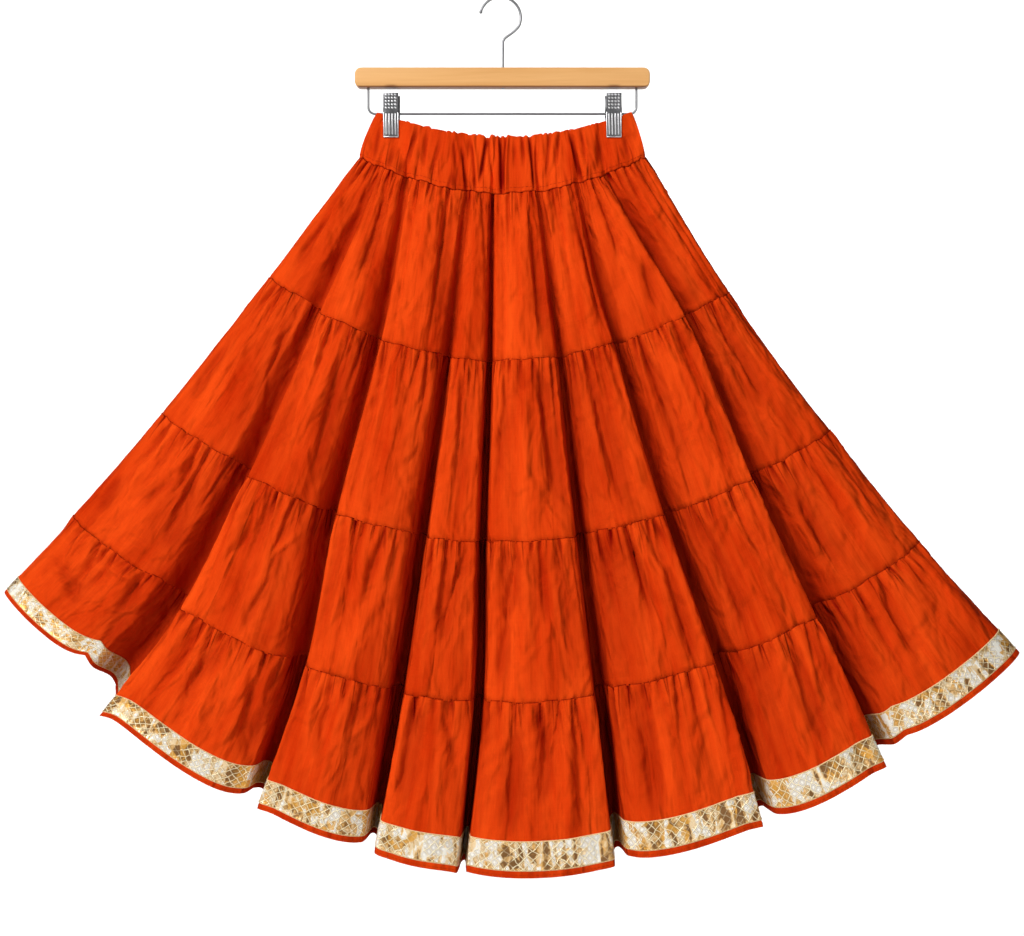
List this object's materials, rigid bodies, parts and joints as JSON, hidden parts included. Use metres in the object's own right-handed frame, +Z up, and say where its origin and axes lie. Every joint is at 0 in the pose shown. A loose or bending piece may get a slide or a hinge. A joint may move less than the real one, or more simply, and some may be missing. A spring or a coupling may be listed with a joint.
{
  "type": "tiered ruffle skirt on clip hanger",
  "caption": "Long orange cotton skirt of gathered tiers with an elastic waist and a gold foil border, hung from a wooden clip hanger.",
  "frame": {"origin": "inside top of the hanger's hook, where it rests on a rod", "axes": "+Z up, +X along the hanger's bar to the wearer's left, the skirt's front faces -Y"},
  "size_m": [1.2602, 0.2062, 1.0769],
  "materials": {
    "orange_casing": "ruched plain-weave cotton",
    "orange_cotton": "matte plain-weave cotton, softly creased",
    "gold_ribbon": "crumpled metallic gold foil, embossed lattice",
    "hanger_wood": "clear satin lacquer",
    "hook_steel": "bright plated wire",
    "clip_steel": "plated pressed steel"
  },
  "bodies": {
    "root": {"waistband": "orange_casing", "tier_1": "orange_cotton", "tier_2": "orange_cotton", "tier_3": "orange_cotton", "tier_4": "orange_cotton", "gold_band": "gold_ribbon", "hanger_bar": "hanger_wood", "hanger_hook": "hook_steel", "clip_rail": "hook_steel", "clip_left_front": "clip_steel", "clip_left_back": "clip_steel", "clip_left_spring": "clip_steel", "clip_right_front": "clip_steel", "clip_right_back": "clip_steel", "clip_right_spring": "clip_steel"}
  },
  "joints": []
}
